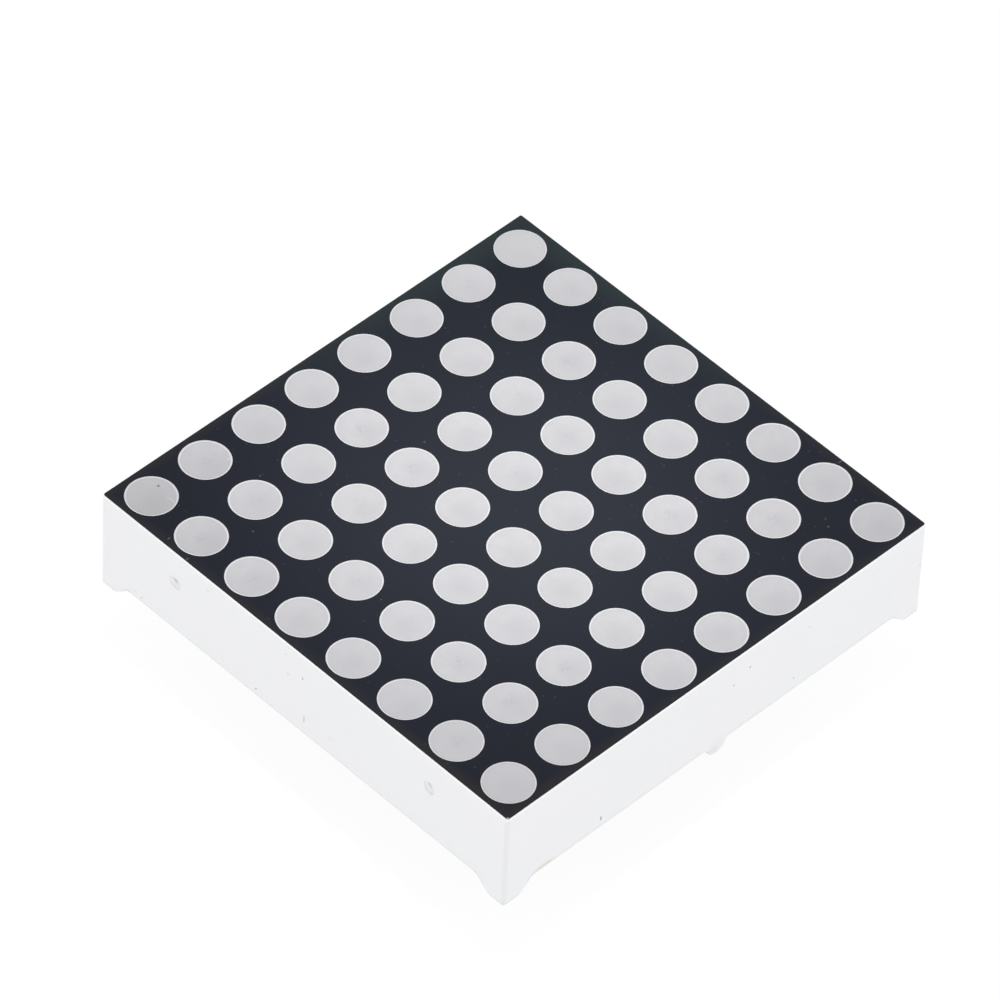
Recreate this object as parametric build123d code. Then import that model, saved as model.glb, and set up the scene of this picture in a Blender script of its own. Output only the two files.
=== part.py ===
from build123d import *
import os

os.makedirs("parts", exist_ok=True)

# LED dot matrix: sixty-four round dots in a square white housing with a black face.
# Sizes are in millimetres. +Z points out of the face, Z = 0 is the plane of the feet's
# soles, the origin lies under the middle of the dot grid, and the wall with the
# half-round key tab is at -Y.
# Row 1 is at +Y and column 1 at -X. Pin 1 is at -X -Y, and the count runs
# anticlockwise as seen from the face.

# Dot grid
dot_pitch = 4.0
window_radius = 1.5
face_margin = 0.4  # from the outer windows to the sides of the body

# Black print on the face
ink_thickness = 0.05
ink_inset = 0.05  # white edge left round the print

# Housing
body_height = 7.0  # from the feet's soles to the face
wall = 0.8
corner_radius = 0.15
edge_round = 0.05  # round the face
cavity_radius = 0.3  # inside corners of the skirt
foot_height = 0.9
foot_sole = 1.15  # flat sole, from the corner along each wall
flank_run = 1.0  # slope between the sole and the edge of the skirt
sole_round = 0.5
arch_round = 0.7
tab_radius = 0.75
tab_offset = 0.15
tab_blend = 0.2  # inside corners where the tab meets the skirt

# Gate marks, two shallow dishes in the -X wall with a torn stub in each
gate_spacing = 20.0
gate_level = 4.65
gate_radius = 0.45
gate_depth = 0.06
gate_stub_radius = 0.13
gate_stub_height = 0.04

# Reflector cups
cup_rim = 0.07  # white rim that shows between a lens and the print
cup_depth = 3.35
cup_floor_radius = 1.1

# Circuit board
board_gap = 0.3  # under the floor of the reflector
board_thickness = 1.2
board_clearance = 0.15  # to the skirt, all round
stud_radius = 0.6
stud_clearance = 0.1
stud_end = 0.25  # stud left standing behind the board
shoulder_radius = 1.0

# Copper
copper = 0.035
track_width = 0.2
via_radius = 0.15
via_pad_radius = 0.25
die_pad = 0.7
bond_pad = 0.4
bond_offset = 0.75  # from the middle of a dot to its bond pad
front_pad_radius = 0.52
back_pad_radius = 0.6
barrel_wall = 0.05  # copper in the pins' holes
first_lane = 0.88  # tracks beside a pin row, from the pins' middles
second_lane = 1.4
trunk_jog = 0.5  # a column line sidesteps a pin that stands on it
jog_reach = 1.12
pin_detour = 0.85  # a row line that comes down beside its pin

# Dice and bond wires
die_size = 0.25
die_height = 0.2
wire_size = 0.03
loop_rise = 0.15
loop_run = 0.12
wedge_length = 0.15  # end of a wire that lies on its pad

# Pins
pin_pitch = 2.54
pin_radius = 0.25  # of the free end, with its tin
pin_tin = 0.01  # the free ends are dipped in tin up to the joints
pin_head = 0.1  # standing proud of the front copper
pin_reach = 4.0  # below the feet's soles
pin_chamfer = 0.1

# Solder
solder_gap = 0.12  # between a pin and the copper of its hole
solder_land = 0.05  # rim of the pad left bare round the solder
solder_height = 0.6
solder_neck = 0.03
solder_dip = 0.06  # hollow of the fillet

# Epoxy
fill_depth = 0.5  # behind the board
meniscus = 0.2  # curve where the epoxy climbs the skirt
meniscus_land = 0.04

# Sizes that follow from these
body_side = 7 * dot_pitch + 2 * (window_radius + face_margin)
half = body_side / 2
cavity_half = half - wall
board_half = cavity_half - board_clearance
shell_top = body_height - ink_thickness
cup_mouth_radius = window_radius - cup_rim
cup_floor = shell_top - cup_depth
board_top = cup_floor - board_gap
board_bottom = board_top - board_thickness
front_copper = board_top + copper
back_copper = board_bottom - copper
fill_level = board_bottom - fill_depth
stud_x = 3 * dot_pitch
stud_y = 2 * dot_pitch
pin_row_y = 3 * dot_pitch
hole_radius = pin_radius + solder_gap + barrel_wall
wire_radius = pin_radius - pin_tin
joint_end = back_copper - solder_height

numbers = range(1, 9)
pair_middles = [-3 * dot_pitch, -dot_pitch, dot_pitch, 3 * dot_pitch]


def column_x(n):
    return (n - 4.5) * dot_pitch


def row_y(n):
    return (4.5 - n) * dot_pitch


def pin_place(n):
    """Pins 1 to 8 run along -Y from -X, and 9 to 16 back along +Y from +X."""
    if n <= 8:
        return (n - 4.5) * pin_pitch, -pin_row_y
    return (12.5 - n) * pin_pitch, pin_row_y


dots = [(column_x(c), row_y(r)) for r in numbers for c in numbers]
studs = [(x, y) for x in (-stud_x, stud_x) for y in (-stud_y, stud_y)]
pins = {n: pin_place(n) for n in range(1, 17)}


def block(sketch, low, high):
    """Solid from a sketch, between two heights."""
    return Pos(0, 0, low) * extrude(sketch, high - low)


def rods(places, radius, low, high):
    return [Pos(x, y, low) * extrude(Circle(radius), high - low) for x, y in places]


def save(name, shape):
    shape.label = name
    export_step(shape, os.path.join("parts", name + ".step"))


# Housing
# The side view of a wall is one closed outline: two feet with flat soles, curved
# flanks, and the edge of the skirt between them. What the outline leaves open under
# the skirt is cut out of each wall in turn, so an L-shaped foot stays at each corner.
sole_end = half - foot_sole
flank_end = sole_end - flank_run
side_outline = Polyline(
    (-half, 0),
    (-sole_end, 0),
    (-flank_end, foot_height),
    (flank_end, foot_height),
    (sole_end, 0),
    (half, 0),
    (half, shell_top),
    (-half, shell_top),
    close=True,
)
side_view = make_face(side_outline)
arches = side_view.vertices().filter_by(lambda v: abs(v.Y - foot_height) < 1e-6)
side_view = fillet(arches, arch_round)
soles = side_view.vertices().filter_by(
    lambda v: abs(v.Y) < 1e-6 and abs(v.X) < half - foot_sole / 2
)
side_view = fillet(soles, sole_round)
opening = Pos(0, foot_height / 2) * Rectangle(body_side, foot_height) - side_view
opening = Pos(0, wall - cavity_half) * extrude(Plane.XZ * opening, 3 * wall)

cavity_plan = RectangleRounded(2 * cavity_half, 2 * cavity_half, cavity_radius)
cups = [
    Pos(x, y, cup_floor + cup_depth / 2)
    * Cone(cup_floor_radius, cup_mouth_radius, cup_depth)
    for x, y in dots
]
tab_strip = Pos(0, tab_radius / 2) * Rectangle(4 * tab_radius, tab_radius)
tab_view = Circle(tab_radius) + tab_strip
tab_corners = tab_view.vertices().filter_by(
    lambda v: abs(v.Y) < 1e-6 and abs(v.X) < 1.5 * tab_radius
)
tab_view = fillet(tab_corners, tab_blend)
tab = Pos(tab_offset, wall - half, foot_height) * extrude(Plane.XZ * tab_view, wall)
gate_dish = extrude(Plane.YZ * Circle(gate_radius), gate_depth)
gate_stub = extrude(Plane.YZ * Circle(gate_stub_radius), gate_stub_height)
gate_dish = gate_dish - Pos(gate_depth - gate_stub_height, 0, 0) * gate_stub
gate_marks = [
    Pos(-half, y, gate_level) * gate_dish for y in (-gate_spacing / 2, gate_spacing / 2)
]
shoulders = rods(studs, shoulder_radius, board_top, cup_floor)
stud_rods = rods(studs, stud_radius, board_bottom - stud_end, board_top)

housing = block(RectangleRounded(body_side, body_side, corner_radius), 0, shell_top)
housing = fillet(housing.faces().sort_by(Axis.Z)[-1].edges(), edge_round)
housing = housing - block(cavity_plan, 0, cup_floor)
housing = housing - [Rot(0, 0, quarter * 90) * opening for quarter in range(4)]
housing = housing - [*cups, *gate_marks]
housing = housing + [tab, *shoulders, *stud_rods]
save("reflector_housing", housing)

# Black print, open at every dot
print_side = body_side - 2 * ink_inset
sheet = RectangleRounded(print_side, print_side, corner_radius - ink_inset)
windows = [Pos(x, y) * Circle(window_radius) for x, y in dots]
save("face_print", block(sheet - windows, shell_top, body_height))

# Circuit board
# A die sits in the middle of each dot, on its column's line. The bond pads of two
# neighbours face each other and share one link and one via.
turn_vias = {
    "row_3": (pins[8][0], row_y(3)),
    "row_4": (pins[12][0], row_y(4)),
    "row_5": (pins[1][0], row_y(5)),
    "row_6": (pins[7][0] + pin_detour, row_y(6)),
    "column_1": (column_x(1), pin_row_y + first_lane),
    "column_2": (column_x(2), -pin_row_y - first_lane),
    "column_3": (column_x(3) + trunk_jog, -pin_row_y + first_lane),
    "column_4": (column_x(4), pin_row_y + second_lane),
    "column_7": (column_x(7), pin_row_y - first_lane),
    "column_8": (column_x(8), pin_row_y - second_lane),
}
pair_vias = {n: [(x, row_y(n)) for x in pair_middles] for n in numbers}

board = block(Rectangle(2 * board_half, 2 * board_half), board_bottom, board_top)
drilled = [place for n in numbers for place in pair_vias[n]] + list(turn_vias.values())
board = board - [
    *rods(drilled, via_radius, board_bottom, board_top),
    *rods(pins.values(), hole_radius, board_bottom, board_top),
    *rods(studs, stud_radius + stud_clearance, board_bottom, board_top),
]
save("circuit_board", board)


# Copper lines
# Each row and each column is one piece of copper: tracks and pads on both sides of
# the board, joined through vias and through the lined hole of its own pin.
def track(*points):
    return trace(Polyline(*points), track_width)


def discs(places, radius):
    return [Pos(x, y) * Circle(radius) for x, y in places]


def squares(places, side):
    return [Pos(x, y) * Rectangle(side, side) for x, y in places]


def line_copper(pin, vias, front, back):
    """One line, from its sketches on both sides, its vias and its pin."""
    front = Sketch() + [*front, *discs(vias, via_pad_radius), *discs([pin], front_pad_radius)]
    back = Sketch() + [*back, *discs(vias, via_pad_radius), *discs([pin], back_pad_radius)]
    line = block(front, board_top, front_copper)
    line = line + block(back, back_copper, board_bottom)
    line = line + rods(vias, via_radius, board_bottom, board_top)
    line = line + rods([pin], hole_radius, board_bottom, board_top)
    return line - rods([pin], hole_radius - barrel_wall, back_copper, front_copper)


row_pin = {1: 9, 2: 14, 3: 8, 4: 12, 5: 1, 6: 7, 7: 2, 8: 5}
column_pin = {1: 13, 2: 3, 3: 4, 4: 10, 5: 6, 6: 11, 7: 15, 8: 16}

for n in numbers:
    y = row_y(n)
    pin = pins[row_pin[n]]
    pad_places = [(column_x(c) + bond_offset * (1 if c % 2 else -1), y) for c in numbers]
    links = [track(pad_places[i], pad_places[i + 1]) for i in (0, 2, 4, 6)]
    front = links + squares(pad_places, bond_pad)
    back = [track((pair_middles[0], y), (pair_middles[-1], y))]
    vias = list(pair_vias[n])
    if n in (1, 7, 8):
        back.append(track((pin[0], y), pin))
    elif n == 2:
        front.append(track((pin[0], y), pin))
    else:
        turn = turn_vias[f"row_{n}"]
        vias.append(turn)
        corner = [(turn[0], pin[1])] if n == 6 else []
        front.append(track(turn, *corner, pin))
    save(f"copper_row_{n}", line_copper(pin, vias, front, back))

for n in numbers:
    x = column_x(n)
    pin = pins[column_pin[n]]
    if n in (3, 6):
        side = x + (trunk_jog if n == 3 else -trunk_jog)
        bend = pin_row_y + jog_reach
        near = pin_row_y - jog_reach
        trunk = track(
            (x, row_y(1)),
            (x, bend),
            (side, bend),
            (side, near),
            (x, near),
            (x, -near),
            (side, -near),
            (side, -bend),
            (x, -bend),
            (x, row_y(8)),
        )
    else:
        side = x
        trunk = track((x, row_y(1)), (x, row_y(8)))
    front = [trunk] + squares([(x, row_y(r)) for r in numbers], die_pad)
    back = []
    vias = []
    if n in (5, 6):
        front.append(track((side, pin[1]), pin))
    else:
        turn = turn_vias[f"column_{n}"]
        vias.append(turn)
        back.append(track(turn, (pin[0], turn[1]), pin))
    save(f"copper_column_{n}", line_copper(pin, vias, front, back))

# LED dice and bond wires, a row at a time
die_top = front_copper + die_height
wedge_height = front_copper + wire_size / 2
loop = Polyline(
    (0, die_top),
    (0, die_top + loop_rise - loop_run / 2),
    (loop_run, die_top + loop_rise),
    (bond_offset - wedge_length / 2, wedge_height),
    (bond_offset + wedge_length / 2, wedge_height),
)
wire_right = extrude(Plane.XZ * trace(loop, wire_size), wire_size / 2, both=True)
wire_left = mirror(wire_right, Plane.YZ)
die = block(Rectangle(die_size, die_size), front_copper, die_top)
all_dice = []
all_wires = []
for r in numbers:
    dice = [Pos(column_x(c), row_y(r)) * die for c in numbers]
    wires = [
        Pos(column_x(c), row_y(r)) * (wire_right if c % 2 else wire_left) for c in numbers
    ]
    save(f"led_dice_row_{r}", Compound(children=dice))
    save(f"bond_wires_row_{r}", Compound(children=wires))
    all_dice += dice
    all_wires += wires

# Pins, turned from the chamfered tip up: the tinned end, then the bare wire of the joint
pin_top = front_copper + pin_head
pin_outline = Polyline(
    (0, -pin_reach),
    (pin_radius - pin_chamfer, -pin_reach),
    (pin_radius, pin_chamfer - pin_reach),
    (pin_radius, joint_end),
    (wire_radius, joint_end),
    (wire_radius, pin_top),
    (0, pin_top),
    close=True,
)
pin_body = revolve(Plane.XZ * make_face(pin_outline), Axis.Z)
pin_bodies = {n: Pos(x, y) * pin_body for n, (x, y) in pins.items()}
for n in pins:
    save(f"pin_{n:02d}", pin_bodies[n])

# Solder, drawn through the hole and hollow where it climbs the pin
solder_foot = (back_pad_radius - solder_land, back_copper)
solder_tip = (wire_radius + solder_neck, joint_end)
fillet_curve = SagittaArc(solder_foot, solder_tip, solder_dip)
inner_line = Polyline(
    solder_tip,
    (wire_radius, joint_end),
    (wire_radius, front_copper),
    (pin_radius + solder_gap, front_copper),
    (pin_radius + solder_gap, back_copper),
    solder_foot,
)
solder = revolve(Plane.XZ * make_face([fillet_curve, inner_line]), Axis.Z)
joints = [Pos(x, y) * solder for x, y in pins.values()]
save("solder_joints", Compound(children=joints))

# Epoxy casting
# It fills the cups and all the room round the board, and its back climbs the skirt.
casting = block(cavity_plan, fill_level - meniscus, cup_floor)
pocket_side = 2 * (cavity_half - meniscus_land)
pocket_plan = RectangleRounded(pocket_side, pocket_side, cavity_radius)
pocket = block(pocket_plan, fill_level - 2 * meniscus, fill_level)
pocket = fillet(pocket.faces().sort_by(Axis.Z)[-1].edges(), meniscus)
board_room = block(
    Rectangle(2 * board_half, 2 * board_half), back_copper, front_copper
)
casting = casting - [pocket, board_room] + cups
casting = casting - [
    *all_dice,
    *all_wires,
    *shoulders,
    *stud_rods,
    *joints,
    *pin_bodies.values(),
]
save("epoxy_casting", casting)
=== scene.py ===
import math

import bmesh
import bpy
from mathutils import Matrix, Vector


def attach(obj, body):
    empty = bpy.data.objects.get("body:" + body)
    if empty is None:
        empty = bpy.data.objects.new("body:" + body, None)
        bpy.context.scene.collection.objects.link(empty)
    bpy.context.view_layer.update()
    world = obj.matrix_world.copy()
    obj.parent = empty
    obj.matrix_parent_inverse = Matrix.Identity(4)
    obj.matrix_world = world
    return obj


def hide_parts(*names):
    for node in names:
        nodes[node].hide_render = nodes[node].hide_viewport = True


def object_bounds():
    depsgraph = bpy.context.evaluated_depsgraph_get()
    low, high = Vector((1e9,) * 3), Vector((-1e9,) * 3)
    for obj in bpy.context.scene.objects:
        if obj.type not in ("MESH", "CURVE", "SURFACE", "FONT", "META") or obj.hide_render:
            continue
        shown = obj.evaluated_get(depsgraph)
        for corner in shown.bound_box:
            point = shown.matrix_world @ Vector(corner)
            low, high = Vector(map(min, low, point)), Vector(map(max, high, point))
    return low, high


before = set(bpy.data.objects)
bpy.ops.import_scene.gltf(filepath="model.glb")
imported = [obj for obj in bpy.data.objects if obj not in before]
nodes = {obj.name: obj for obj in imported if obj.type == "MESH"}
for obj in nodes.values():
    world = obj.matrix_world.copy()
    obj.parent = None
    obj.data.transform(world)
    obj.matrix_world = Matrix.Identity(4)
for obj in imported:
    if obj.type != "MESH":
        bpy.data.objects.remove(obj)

MM = 0.001
cad_box = [list(c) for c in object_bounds()]

# Sizes of the part that places and patterns refer to, in millimetres
HALF_SIDE = 15.9
FACE_HEIGHT = 7.0
DOT_PITCH = 4.0
DOTS_IN_A_ROW = 8
PIN_PITCH = 2.54
PIN_ROW = 12.0
PIN_ROW_END = 9.65
PAD_RADIUS = 0.65

# Lenses: a shallow dish in each window, on a short skirt inside the cup
LENS_RADIUS = 1.43
LENS_TOP = 6.95
LENS_DISH = 0.03
LENS_SKIRT = 0.35
LENS_TAPER = 0.03
LENS_RINGS = (0.25, 0.5, 0.75, 1.0, 1.15, 1.28, 1.37)
LENS_STEPS = 48
# The back of the casting is what lies below this height
BACK_TOP = 2.0

# Camera, fitted to the centres of the dots, for a picture 1000 pixels wide
PICTURE_PIXELS = 1000
FOCAL_PIXELS = 9950.6
SENSOR_WIDTH = 36
CAMERA_PLACE = Vector((-266.056, -254.335, 405.348)) * MM
TURN = math.radians(43.837)
DOWN = math.radians(47.217)
ROLL = math.radians(2.905)

forward = Vector(
    (
        math.cos(TURN) * math.cos(DOWN),
        math.sin(TURN) * math.cos(DOWN),
        -math.sin(DOWN),
    )
)
level_right = Vector((math.sin(TURN), -math.cos(TURN), 0))
level_up = level_right.cross(forward)
right = level_right * math.cos(ROLL) + level_up * math.sin(ROLL)
up = right.cross(forward)
camera_data = bpy.data.cameras.new("camera")
camera_data.sensor_width = SENSOR_WIDTH
camera_data.lens = FOCAL_PIXELS / PICTURE_PIXELS * SENSOR_WIDTH
camera_data.clip_start = 0.01
camera_data.clip_end = 10
camera = bpy.data.objects.new("camera", camera_data)
bpy.context.scene.collection.objects.link(camera)
pose = Matrix((right, up, -forward)).transposed().to_4x4()
pose.translation = CAMERA_PLACE
camera.matrix_world = pose
bpy.context.scene.camera = camera
bpy.context.scene.view_settings.view_transform = "Standard"


class Nodes:
    """Short names for the shader nodes used below. Lengths are in millimetres."""

    def __init__(self, owner):
        self.tree = owner.node_tree

    def add(self, kind, **settings):
        node = self.tree.nodes.new("ShaderNode" + kind)
        for name, value in settings.items():
            setattr(node, name, value)
        return node

    def link(self, a, b):
        self.tree.links.new(a, b)

    def put(self, socket, value):
        """Links a socket to another one, or sets it to a number or a vector."""
        if hasattr(value, "is_linked"):
            self.link(value, socket)
        else:
            socket.default_value = value

    def place(self):
        """The point on the object, in millimetres."""
        geometry = self.add("NewGeometry")
        return self.scale(geometry.outputs["Position"], 1000)

    def scale(self, vector, factor):
        node = self.add("VectorMath", operation="SCALE")
        self.link(vector, node.inputs[0])
        self.put(node.inputs["Scale"], factor)
        return node.outputs[0]

    def stretch(self, vector, factors):
        node = self.add("VectorMath", operation="MULTIPLY")
        self.link(vector, node.inputs[0])
        node.inputs[1].default_value = factors
        return node.outputs[0]

    def split(self, vector):
        node = self.add("SeparateXYZ")
        self.link(vector, node.inputs[0])
        return node.outputs

    def join(self, x, y, z):
        node = self.add("CombineXYZ")
        for socket, value in zip(node.inputs, (x, y, z)):
            self.put(socket, value)
        return node.outputs[0]

    def distance(self, a, b):
        """Distance between two points. Each is a socket or three numbers."""
        node = self.add("VectorMath", operation="DISTANCE")
        self.put(node.inputs[0], a)
        self.put(node.inputs[1], b)
        return node.outputs["Value"]

    def math(self, operation, a, b=0.0, c=None):
        node = self.add("Math", operation=operation)
        self.put(node.inputs[0], a)
        self.put(node.inputs[1], b)
        if c is not None:
            self.put(node.inputs[2], c)
        return node.outputs[0]

    def absolute(self, value):
        """The value without its sign."""
        return self.math("ABSOLUTE", value)

    def within(self, value, period):
        """The place within a pattern that repeats, measured from its middle."""
        wrapped = self.math("WRAP", value, period, 0.0)
        return self.math("SUBTRACT", wrapped, period / 2)

    def noise(self, vector, scale, detail=2.0, rough=0.5):
        node = self.add("TexNoise")
        self.link(vector, node.inputs["Vector"])
        node.inputs["Scale"].default_value = scale
        node.inputs["Detail"].default_value = detail
        node.inputs["Roughness"].default_value = rough
        return node.outputs["Fac"]

    def ramp(self, value, low, high, to_low=0.0, to_high=1.0, smooth=True):
        """Goes from to_low to to_high while the value goes from low to high."""
        node = self.add("MapRange")
        if smooth:
            node.interpolation_type = "SMOOTHSTEP"
        numbers = {
            "Value": value,
            "From Min": low,
            "From Max": high,
            "To Min": to_low,
            "To Max": to_high,
        }
        for name, number in numbers.items():
            self.put(node.inputs[name], number)
        return node.outputs["Result"]

    def near(self, value, full, none):
        """1 where the value is up to full, fading to 0 where it is none or more."""
        return self.ramp(value, full, none, 1.0, 0.0)

    def spread(self, noise, to_low=0.0, to_high=1.0):
        """A noise, mostly between 0.3 and 0.7, made to run from to_low to to_high."""
        return self.ramp(noise, 0.3, 0.7, to_low, to_high)

    def mix(self, factor, a, b):
        node = self.add("Mix", data_type="RGBA")
        self.put(node.inputs[0], factor)
        self.put(node.inputs[6], (*a, 1) if isinstance(a, tuple) else a)
        self.put(node.inputs[7], (*b, 1) if isinstance(b, tuple) else b)
        return node.outputs[2]

    def fade(self, colour, mask, strength, to):
        """The colour, moved towards another one where the mask is 1."""
        return self.mix(self.math("MULTIPLY", mask, strength), colour, to)

    def bump(self, shader, height, strength, distance):
        """Distance is in metres."""
        node = self.add("Bump")
        node.inputs["Strength"].default_value = strength
        node.inputs["Distance"].default_value = distance
        self.link(height, node.inputs["Height"])
        self.link(node.outputs["Normal"], shader.inputs["Normal"])

    def seen(self):
        """1 for rays from the camera, and for those seen in gloss or through glass."""
        rays = self.add("LightPath").outputs
        seen = self.math("MAXIMUM", rays["Is Camera Ray"], rays["Is Glossy Ray"])
        return self.math("MAXIMUM", seen, rays["Is Transmission Ray"])


def material(name):
    made = bpy.data.materials.new(name)
    made.use_nodes = True
    return made, made.node_tree.nodes["Principled BSDF"], Nodes(made)


def linear(*levels):
    """sRGB levels, 0 to 255, as linear light."""
    out = []
    for level in levels:
        c = level / 255
        out.append(c / 12.92 if c <= 0.04045 else ((c + 0.055) / 1.055) ** 2.4)
    return tuple(out)


# White plastic of the housing
PLASTIC_COOL = linear(242, 244, 245)
PLASTIC_WARM = linear(244, 243, 246)
PLASTIC_STAIN = linear(228, 228, 229)
# Painted shade along the lower edge of the walls and down the front corner
PAINTED_LOWER_EDGE_SHADE = linear(212, 212, 212)
PAINTED_CORNER_SHADE = linear(210, 212, 213)
# A painted highlight along the top edge
PAINTED_EDGE_HIGHLIGHT = (1.0, 1.0, 1.0)
GREY = linear(206, 206, 205)
DARK = linear(120, 118, 116)
YELLOW = linear(219, 221, 202)

# Marks on two walls, in millimetres: where each one is along the wall and in height, how
# far it reaches in both, how strong it is, and its colour
minus_x_marks = [
    ((9.95, 4.6), (0.42, 0.45), 0.22, GREY),
    ((10.07, 4.76), (0.33, 0.1), 0.24, DARK),
    ((9.6, 4.7), (0.06, 0.12), 0.4, DARK),
    ((-9.98, 4.55), (0.42, 0.5), 0.22, GREY),
    ((-9.92, 4.84), (0.2, 0.1), 0.26, DARK),
    ((-10.1, 4.12), (0.12, 0.05), 0.2, DARK),
    ((-2.33, 2.12), (0.25, 0.2), 0.14, GREY),
    ((-0.29, 2.0), (0.05, 0.32), 0.5, DARK),
    ((3.5, 1.35), (0.08, 0.1), 0.6, DARK),
    ((1.05, 4.58), (0.09, 0.05), 0.5, DARK),
    ((-0.09, 5.15), (0.07, 0.1), 0.65, DARK),
    ((1.25, 6.04), (0.06, 0.05), 0.4, DARK),
    ((7.42, 6.05), (0.06, 0.05), 0.5, DARK),
    ((13.12, 1.36), (0.08, 0.05), 0.4, DARK),
    ((12.64, 1.25), (0.12, 0.05), 0.4, DARK),
    ((13.62, 1.0), (0.06, 0.05), 0.3, DARK),
]
minus_y_marks = [
    ((7.0, 5.21), (0.06, 0.06), 0.4, DARK),
    ((-8.67, 1.55), (0.07, 0.2), 0.75, DARK),
    ((6.02, 1.79), (0.07, 0.07), 0.5, DARK),
    ((2.41, 5.42), (0.08, 0.08), 0.65, DARK),
    ((1.2, 4.83), (0.08, 0.07), 0.55, DARK),
    ((15.68, 3.8), (0.05, 0.08), 0.45, DARK),
    ((-12.9, 0.9), (1.0, 0.4), 0.65, YELLOW),
    ((-0.15, 0.45), (0.5, 0.4), 0.3, YELLOW),
    ((0.2, 0.75), (0.8, 0.75), 0.1, GREY),
]
# How far a mark reaches into its wall
MARK_DEPTH = 1
wall_marks = [
    ((-HALF_SIDE, along, z), (MARK_DEPTH, reach, reach_z), strength, colour)
    for (along, z), (reach, reach_z), strength, colour in minus_x_marks
] + [
    ((along, -HALF_SIDE, z), (reach, MARK_DEPTH, reach_z), strength, colour)
    for (along, z), (reach, reach_z), strength, colour in minus_y_marks
]


def white_plastic():
    made, shader, n = material("white_plastic")
    place = n.place()
    x, y, z = n.split(place)
    cloud = n.noise(place, 0.22)
    grain = n.noise(place, 9.0)
    fine = n.noise(place, 4.0, 3.0)
    tone = n.mix(n.ramp(cloud, 0.35, 0.65), PLASTIC_COOL, PLASTIC_WARM)
    tone = n.fade(tone, n.ramp(fine, 0.62, 0.8), 0.25, PLASTIC_STAIN)
    for where, reach, strength, colour in wall_marks:
        scale = tuple(1 / r for r in reach)
        middle = tuple(p * s for p, s in zip(where, scale))
        away = n.distance(n.stretch(place, scale), middle)
        away = n.math("ADD", away, n.math("MULTIPLY", fine, 0.5))
        tone = n.fade(tone, n.near(away, 0.75, 1.35), strength, colour)
    # Painted shade along the lower outline of the walls, but not on the half-round tab, and
    # painted shade down the crease of the front corner. The outline is low at the feet and
    # higher between them.
    out_x = n.absolute(x)
    out_y = n.absolute(y)
    from_corner = n.math("SUBTRACT", HALF_SIDE, n.math("MINIMUM", out_x, out_y))
    above = n.math("SUBTRACT", z, n.ramp(from_corner, 1.1, 2.2, 0.0, 0.9))
    off_tab = n.ramp(n.absolute(n.math("SUBTRACT", x, 0.15)), 0.8, 1.0)
    low = n.math("MULTIPLY", n.near(above, 0.04, 0.16), off_tab)
    tone = n.fade(tone, low, 0.35, PAINTED_LOWER_EDGE_SHADE)
    corner = n.distance(n.join(x, y, 0.0), (-HALF_SIDE, -HALF_SIDE, 0.0))
    tone = n.fade(tone, n.near(corner, 0.06, 0.32), 0.2, PAINTED_CORNER_SHADE)
    # A painted highlight along the top edge, whiter than the walls
    rim = n.ramp(n.math("MAXIMUM", out_x, out_y), 15.7, 15.8)
    line = n.math("MULTIPLY", n.ramp(z, 6.76, 6.9), rim)
    tone = n.fade(tone, line, 1.0, PAINTED_EDGE_HIGHLIGHT)
    n.link(tone, shader.inputs["Base Color"])
    n.link(n.spread(grain, 0.38, 0.48), shader.inputs["Roughness"])
    shader.inputs["Specular IOR Level"].default_value = 0.3
    n.bump(shader, grain, 0.15, 0.00001)
    return made


# Black print on the face
# The print's tone in a painted pool of light, and in painted shade towards the edges
INK_WITH_PAINTED_LIGHT = linear(38, 42, 51)
INK_WITH_PAINTED_SHADE = linear(20, 24, 37)
INK_CLOUD = linear(30, 32, 43)
INK_RIM = linear(35, 37, 42)
INK_BACK = linear(23, 33, 41)
INK_BACK_RIM = linear(40, 51, 55)
INK_FRONT_RIM = linear(40, 34, 38)
DUST = linear(120, 122, 130)
SCRATCH = linear(190, 190, 192)
# Middle of the painted pool of light on the print
PRINT_PAINTED_LIGHT_MIDDLE = (0.8, 0.0, FACE_HEIGHT)

# Light scratches, chips and dust on the print, in millimetres: where each one is along X
# and Y, how far it reaches in both, and how strong it is
print_marks = [
    ((-15.44, 11.04), (0.12, 0.05), 0.16),
    ((15.7, -9.5), (0.2, 0.04), 0.2),
    ((-15.72, 9.27), (0.12, 0.05), 0.15),
    ((-15.8, -15.8), (0.08, 0.08), 0.8),
    ((10.85, -14.0), (0.07, 0.07), 0.25),
    ((11.75, -12.45), (0.07, 0.07), 0.14),
    ((12.05, -11.95), (0.05, 0.1), 0.1),
    ((14.25, -12.1), (0.06, 0.06), 0.09),
    ((-0.2, 6.9), (0.07, 0.07), 0.14),
    ((-8.6, 11.1), (0.07, 0.07), 0.13),
    ((-11.7, 8.35), (0.07, 0.07), 0.13),
    ((-10.0, 0.05), (0.07, 0.06), 0.11),
    ((3.6, 6.95), (0.06, 0.06), 0.08),
    ((8.3, -3.2), (0.06, 0.06), 0.08),
]


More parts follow.
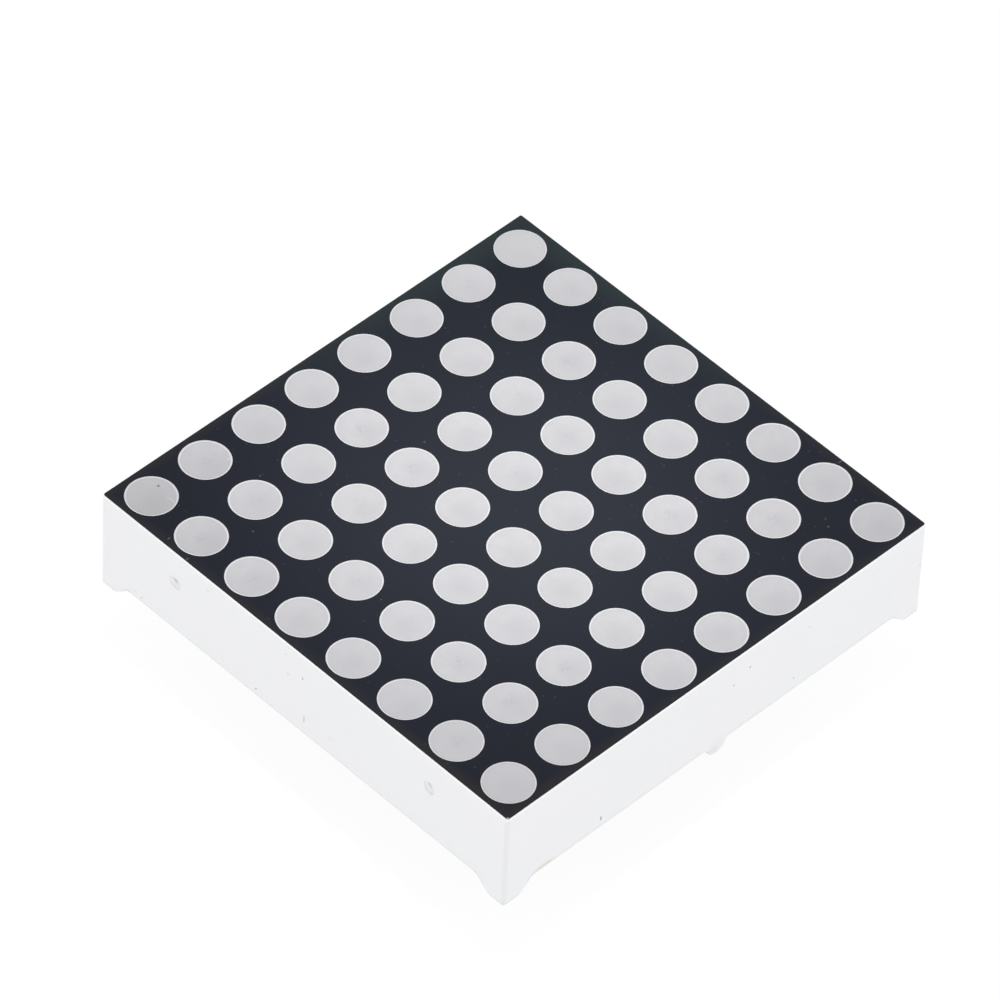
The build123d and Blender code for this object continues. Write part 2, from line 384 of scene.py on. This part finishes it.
def black_print():
    made, shader, n = material("black_print")
    place = n.place()
    x, y, _ = n.split(place)
    cloud = n.noise(place, 0.1)
    grain = n.noise(place, 14.0, 3.0)
    # Painted pool of light: the print is lighter in the middle and darker towards the edges
    from_middle = n.distance(place, PRINT_PAINTED_LIGHT_MIDDLE)
    tone = n.mix(n.ramp(from_middle, 2.0, 20.0), INK_WITH_PAINTED_LIGHT, INK_WITH_PAINTED_SHADE)
    tone = n.fade(tone, n.ramp(cloud, 0.4, 0.7), 0.3, INK_CLOUD)
    # The outer edge is a little paler, greener at the back corner, warmer at the front
    outward = n.math("MAXIMUM", n.absolute(x), n.absolute(y))
    wide_rim = n.ramp(outward, 13.4, 15.8)
    rim = n.ramp(outward, 15.1, 15.8)
    backward = n.math("ADD", x, y)
    tone = n.fade(tone, rim, 0.8, INK_RIM)
    far_side = n.ramp(backward, 8.0, 28.0)
    tone = n.fade(tone, far_side, 0.35, INK_BACK)
    back = n.math("MULTIPLY", wide_rim, far_side)
    tone = n.fade(tone, back, 0.8, INK_BACK_RIM)
    front = n.math("MULTIPLY", rim, n.ramp(backward, -20.0, -30.0))
    tone = n.fade(tone, front, 0.7, INK_FRONT_RIM)
    # Fine dust: a speck in the middle of some of a random pattern's cells
    dust = n.add("TexVoronoi", feature="F1")
    n.link(place, dust.inputs["Vector"])
    dust.inputs["Scale"].default_value = 2.4
    chosen = n.ramp(n.split(dust.outputs["Color"])[0], 0.6, 0.95, smooth=False)
    speck = n.near(dust.outputs["Distance"], 0.08, 0.2)
    tone = n.fade(tone, n.math("MULTIPLY", speck, chosen), 0.13, DUST)
    flat = n.join(x, y, 0.0)
    for (mark_x, mark_y), (reach_x, reach_y), strength in print_marks:
        scaled = n.stretch(flat, (1 / reach_x, 1 / reach_y, 1))
        away = n.distance(scaled, (mark_x / reach_x, mark_y / reach_y, 0.0))
        tone = n.fade(tone, n.near(away, 0.6, 1.1), strength, SCRATCH)
    n.link(tone, shader.inputs["Base Color"])
    n.link(n.spread(grain, 0.36, 0.46), shader.inputs["Roughness"])
    shader.inputs["Specular IOR Level"].default_value = 0.13
    n.bump(shader, grain, 0.15, 0.00001)
    return made


# Milky resin of the dots
MILK_LOW = linear(202, 201, 204)
MILK_HIGH = linear(206, 206, 209)
# Painted shade in the cup
MILK_PAINTED_CUP_SHADE = linear(190, 190, 194)
MILK_DIE = linear(172, 170, 176)
MILK_OWN = linear(196, 196, 202)
# This tone and the next four are painted light and shade across the face
MILK_PAINTED_SHADE_FAR = linear(182, 181, 187)
MILK_PAINTED_LIGHT_BACK = linear(226, 226, 229)
MILK_PAINTED_LIGHT_FRONT = linear(222, 222, 225)
MILK_PAINTED_SHADE_RIGHT = linear(182, 182, 186)
MILK_PAINTED_SHADE_LEFT = linear(150, 150, 148)
RING = linear(240, 240, 243)
SPECK = linear(96, 94, 96)
FLECK = linear(242, 242, 244)
# Middle of the painted light across the dots
DOTS_PAINTED_LIGHT_MIDDLE = (2.0, 0.0, FACE_HEIGHT)
# The bright ring starts inside the lens's edge
RING_START = 1.375

# A dark speck and some light flecks in the dots, along X and Y
DARK_SPECK = (-13.18, 14.33)
LIGHT_FLECKS = [(-13.42, 13.3), (-13.35, 13.13), (-13.36, 12.94), (-9.0, 13.21)]


def lens_resin():
    """Milky resin over a reflector cup. The cup's floor and its die show through it, and
    the shade in the cup and the fall of light across the face are painted into its colour.
    """
    made, shader, n = material("lens_resin")
    place = n.place()
    x, y, _ = n.split(place)
    u = n.within(x, DOT_PITCH)
    v = n.within(y, DOT_PITCH)
    cell = n.join(
        n.math("FLOOR", n.math("DIVIDE", x, DOT_PITCH)),
        n.math("FLOOR", n.math("DIVIDE", y, DOT_PITCH)),
        0.0,
    )
    # Three random numbers for each dot
    luck = n.add("TexWhiteNoise", noise_dimensions="3D")
    n.link(cell, luck.inputs["Vector"])
    own = n.split(luck.outputs["Color"])
    inside = n.join(u, v, 0.0)
    radius = n.distance(inside, (0.0, 0.0, 0.0))
    # A soft pool of painted shade over the die, a little off the middle, and not alike in
    # two dots
    middle = n.join(
        n.ramp(own[0], 0.0, 1.0, -0.3, 0.25, smooth=False),
        n.ramp(own[1], 0.0, 1.0, -0.75, -0.15, smooth=False),
        0.0,
    )
    pool = n.near(n.distance(inside, middle), 0.1, 1.35)
    smudge = n.noise(place, 1.6, 3.0, 0.6)
    tone = n.mix(n.spread(smudge), MILK_LOW, MILK_HIGH)
    tone = n.fade(tone, pool, 0.5, MILK_PAINTED_CUP_SHADE)
    # The die, which shows faintly in some dots
    ghost = n.math(
        "MULTIPLY",
        n.near(radius, 0.15, 0.6),
        n.ramp(n.noise(place, 4.5), 0.45, 0.62),
    )
    ghost = n.math("MULTIPLY", ghost, n.ramp(own[0], 0.35, 0.85))
    tone = n.fade(tone, ghost, 0.35, MILK_DIE)
    tone = n.fade(tone, n.ramp(own[2], 0.0, 1.0, smooth=False), 0.12, MILK_OWN)
    # Painted shade makes the dots far from the middle of the face darker, and painted light
    # makes those at the back and front lighter
    far = n.ramp(n.distance(place, DOTS_PAINTED_LIGHT_MIDDLE), 5.0, 24.0)
    tone = n.fade(tone, far, 0.36, MILK_PAINTED_SHADE_FAR)
    backward = n.math("ADD", x, y)
    leftward = n.math("SUBTRACT", y, x)
    tone = n.fade(tone, n.ramp(backward, 19.0, 28.0), 0.33, MILK_PAINTED_LIGHT_BACK)
    tone = n.fade(tone, n.ramp(backward, -19.0, -28.0), 0.2, MILK_PAINTED_LIGHT_FRONT)
    # Painted shade on the dots at the right side
    painted_shade_right = n.math("MULTIPLY", n.ramp(x, 4.0, 12.0), n.near(n.absolute(y), 7.0, 14.0))
    tone = n.fade(tone, painted_shade_right, 0.14, MILK_PAINTED_SHADE_RIGHT)
    # The bright ring where the resin meets the cup, softer at the front and the back, and
    # stronger at the left and the right
    beside = n.ramp(n.absolute(leftward), 10.0, 26.0)
    ring = n.math("MULTIPLY_ADD", beside, 0.012, radius)
    ring = n.ramp(ring, RING_START, LENS_RADIUS)
    strength = n.ramp(n.absolute(backward), 12.0, 28.0, 0.6, 0.35)
    strength = n.math("MULTIPLY_ADD", beside, 0.3, strength)
    tone = n.fade(tone, n.math("MULTIPLY", ring, strength), 1.0, RING)
    speck = n.near(n.distance(place, (*DARK_SPECK, LENS_TOP)), 0.05, 0.11)
    tone = n.fade(tone, speck, 0.8, SPECK)
    for spot in LIGHT_FLECKS:
        fleck = n.near(n.distance(place, (*spot, LENS_TOP)), 0.02, 0.08)
        tone = n.fade(tone, fleck, 0.6, FLECK)
    # Painted shade on the dots at the left corner
    tone = n.fade(tone, n.ramp(leftward, 24.5, 28.0), 0.12, MILK_PAINTED_SHADE_LEFT)
    # Painted light: each dot is lighter towards +X and +Y, most of all at the left corner
    painted_tilt_x = n.ramp(x, -16.0, 12.0, 0.0, 0.036)
    painted_tilt_y = n.ramp(y, -14.0, 14.0, 0.0, 0.014)
    painted_tilt_y = n.math("ADD", painted_tilt_y, n.ramp(leftward, 12.0, 28.0, 0.0, 0.05))
    painted_light_gain = n.math("MULTIPLY_ADD", v, painted_tilt_y, 1.0)
    painted_light_gain = n.math("MULTIPLY_ADD", u, painted_tilt_x, painted_light_gain)
    n.link(n.scale(tone, painted_light_gain), shader.inputs["Base Color"])
    grain = n.noise(place, 2.5)
    n.link(n.spread(grain, 0.36, 0.41), shader.inputs["Roughness"])
    shader.inputs["Specular IOR Level"].default_value = 0.3
    n.bump(shader, grain, 0.05, 0.000005)
    return made


def potting():
    """The back of the casting, clear enough to show the board through it."""
    made, shader, n = material("potting")
    cloud = n.noise(n.place(), 0.3, 3.0)
    tone = n.mix(n.spread(cloud), linear(213, 215, 205), linear(219, 220, 210))
    n.link(tone, shader.inputs["Base Color"])
    n.link(n.ramp(cloud, 0.2, 0.8, 0.36, 0.42), shader.inputs["Alpha"])
    n.link(n.spread(cloud, 0.14, 0.22), shader.inputs["Roughness"])
    n.bump(shader, cloud, 0.25, 0.0001)
    return made


def metal(name, low, high, rough):
    """Metal between two tones, with a grain drawn out along the pins."""
    made, shader, n = material(name)
    grain = n.noise(n.stretch(n.place(), (1, 1, 0.4)), 2.2)
    n.link(n.mix(n.spread(grain), low, high), shader.inputs["Base Color"])
    n.link(n.spread(grain, rough - 0.04, rough + 0.05), shader.inputs["Roughness"])
    shader.inputs["Metallic"].default_value = 1.0
    n.bump(shader, grain, 0.1, 0.00001)
    return made


def copper():
    """Tracks under green solder mask, with tinned pads round the pins."""
    made, shader, n = material("copper")
    place = n.place()
    x, y, _ = n.split(place)
    u = n.within(x, PIN_PITCH)
    v = n.math("SUBTRACT", n.absolute(y), PIN_ROW)
    from_pin = n.distance(n.join(u, v, 0.0), (0.0, 0.0, 0.0))
    pad = n.near(from_pin, PAD_RADIUS - 0.03, PAD_RADIUS + 0.03)
    in_row = n.near(n.absolute(x), PIN_ROW_END - 0.05, PIN_ROW_END + 0.05)
    pad = n.math("MULTIPLY", pad, in_row)
    cloud = n.noise(place, 2.0, 3.0)
    masked = n.mix(n.spread(cloud), linear(70, 142, 84), linear(84, 156, 94))
    tin = n.mix(n.spread(cloud), linear(190, 190, 188), linear(214, 214, 212))
    n.link(n.mix(pad, masked, tin), shader.inputs["Base Color"])
    n.link(pad, shader.inputs["Metallic"])
    n.link(n.spread(cloud, 0.28, 0.38), shader.inputs["Roughness"])
    return made


def clouded(name, scale, detail, low, high, rough):
    """A surface whose tone varies between two, and its roughness from rough to 0.1 more."""
    made, shader, n = material(name)
    cloud = n.noise(n.place(), scale, detail)
    n.link(n.mix(n.spread(cloud), low, high), shader.inputs["Base Color"])
    n.link(n.spread(cloud, rough, rough + 0.1), shader.inputs["Roughness"])
    return made


def dress(prefix, made):
    for name, node in nodes.items():
        if name.startswith(prefix):
            node.data.materials.clear()
            node.data.materials.append(made)


resin = lens_resin()
green = clouded("laminate", 1.5, 3.0, linear(34, 96, 48), linear(46, 112, 58), 0.3)
crystal = clouded("die", 8.0, 2.0, linear(150, 92, 40), linear(176, 112, 52), 0.25)
gold = metal("gold_wire", linear(212, 168, 84), linear(230, 190, 110), 0.3)
dress("reflector_housing", white_plastic())
dress("face_print", black_print())
dress("epoxy_casting", resin)
dress("circuit_board", green)
dress("copper_", copper())
dress("led_dice", crystal)
dress("bond_wires", gold)
dress("pin_", metal("tinned_pin", linear(206, 206, 203), linear(218, 218, 214), 0.26))
dress("solder", metal("solder", linear(192, 192, 193), linear(208, 208, 208), 0.3))


# The casting in two pieces: the lenses over the cups, and the back
def casting_piece(name, shape, made):
    mesh = bpy.data.meshes.new(name)
    shape.to_mesh(mesh)
    shape.free()
    mesh.materials.clear()
    mesh.materials.append(made)
    piece = bpy.data.objects.new(name, mesh)
    bpy.context.scene.collection.objects.link(piece)
    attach(piece, "root")
    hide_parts("epoxy_casting")


def circle(shape, x, y, radius, z):
    """Vertices on a level circle round a dot's centre."""
    made = []
    for step in range(LENS_STEPS):
        a = 2 * math.pi * step / LENS_STEPS
        corner = Vector((x + radius * math.cos(a), y + radius * math.sin(a), z))
        made.append(shape.verts.new(corner * MM))
    return made


def add_lens(shape, x, y):
    loops = []
    for radius in LENS_RINGS:
        dip = LENS_DISH * (1 - (radius / LENS_RADIUS) ** 2)
        loops.append(circle(shape, x, y, radius, LENS_TOP - dip))
    rim = circle(shape, x, y, LENS_RADIUS, LENS_TOP)
    foot = circle(shape, x, y, LENS_RADIUS - LENS_TAPER, LENS_TOP - LENS_SKIRT)
    loops += [rim, foot]
    centre = shape.verts.new(Vector((x, y, LENS_TOP - LENS_DISH)) * MM)
    for k in range(LENS_STEPS):
        m = (k + 1) % LENS_STEPS
        shape.faces.new((centre, loops[0][k], loops[0][m])).smooth = True
        for a, b in zip(loops[:-1], loops[1:]):
            shape.faces.new((a[k], b[k], b[m], a[m])).smooth = True
        # The lens ends in a crisp edge
        shape.edges.get((rim[k], rim[m])).smooth = False
    shape.faces.new(list(reversed(foot)))


lenses = bmesh.new()
for i in range(DOTS_IN_A_ROW):
    for j in range(DOTS_IN_A_ROW):
        to_middle = (DOTS_IN_A_ROW - 1) / 2
        add_lens(lenses, DOT_PITCH * (i - to_middle), DOT_PITCH * (j - to_middle))
casting_piece("lens_dots", lenses, resin)

back = bmesh.new()
back.from_mesh(nodes["epoxy_casting"].data)
front_faces = [f for f in back.faces if f.calc_center_median().z > BACK_TOP * MM]
bmesh.ops.delete(back, geom=front_faces, context="FACES")
casting_piece("back_potting", back, potting())


# Floor, lamp and world, in metres
FLOOR_HALF_SIDE = 1.5
FLOOR_GAP = 0.00002
FLOOR_LOW = (0.94, 0.94, 0.94)
FLOOR_HIGH = (0.95, 0.95, 0.95)
FLOOR_GLOW = 1.03
GLOW_SHARE = 0.9
LAMP_PLACE = (0.001, 0.0003, 0.5)
LAMP_POWER = 3.4
LAMP_CONE = math.radians(5.8)
LAMP_RADIUS = 0.006
LIGHT_AT_HORIZON = 1.6
LIGHT_OVERHEAD = 0.47
WHITE = (1, 1, 1, 1)


def floor_material():
    """Nearly white where it is seen, with the object's shadow on it."""
    made, shader, n = material("floor")
    cloud = n.noise(n.place(), 0.01)
    n.link(n.mix(n.spread(cloud), FLOOR_LOW, FLOOR_HIGH), shader.inputs["Base Color"])
    shader.inputs["Roughness"].default_value = 0.9
    shader.inputs["Specular IOR Level"].default_value = 0.0
    glow = n.add("Emission")
    glow.inputs["Strength"].default_value = FLOOR_GLOW
    both = n.add("MixShader")
    n.link(n.math("MULTIPLY", n.seen(), GLOW_SHARE), both.inputs[0])
    n.link(shader.outputs[0], both.inputs[1])
    n.link(glow.outputs[0], both.inputs[2])
    n.link(both.outputs[0], made.node_tree.nodes["Material Output"].inputs["Surface"])
    return made


sheet = bmesh.new()
bmesh.ops.create_grid(sheet, x_segments=8, y_segments=8, size=FLOOR_HALF_SIDE)
floor_mesh = bpy.data.meshes.new("floor")
sheet.to_mesh(floor_mesh)
sheet.free()
floor_mesh.materials.append(floor_material())
floor = bpy.data.objects.new("floor", floor_mesh)
floor.location.z = cad_box[0][2] - FLOOR_GAP
bpy.context.scene.collection.objects.link(floor)

# A soft spot lamp straight above, whose pool fades towards the corners of the face
pool_data = bpy.data.lights.new("pool_lamp", "SPOT")
pool_data.energy = LAMP_POWER
pool_data.spot_size = LAMP_CONE
pool_data.spot_blend = 1.0
pool_data.shadow_soft_size = LAMP_RADIUS
pool_lamp = bpy.data.objects.new("pool_lamp", pool_data)
pool_lamp.location = LAMP_PLACE
bpy.context.scene.collection.objects.link(pool_lamp)

# The sky lights the object more from the sides than from above, and is seen as white
world = bpy.data.worlds.new("world")
bpy.context.scene.world = world
world.use_nodes = True
n = Nodes(world)
sky = world.node_tree.nodes["Background"]
sky.inputs["Color"].default_value = WHITE
height = n.split(n.add("TexCoord").outputs["Generated"])[2]
light = n.ramp(height, 0.0, 1.0, LIGHT_AT_HORIZON, LIGHT_OVERHEAD, smooth=False)
n.link(light, sky.inputs["Strength"])
white = n.add("Background")
white.inputs["Color"].default_value = WHITE
choose = n.add("MixShader")
n.link(n.seen(), choose.inputs[0])
n.link(sky.outputs[0], choose.inputs[1])
n.link(white.outputs[0], choose.inputs[2])
n.link(choose.outputs[0], world.node_tree.nodes["World Output"].inputs["Surface"])
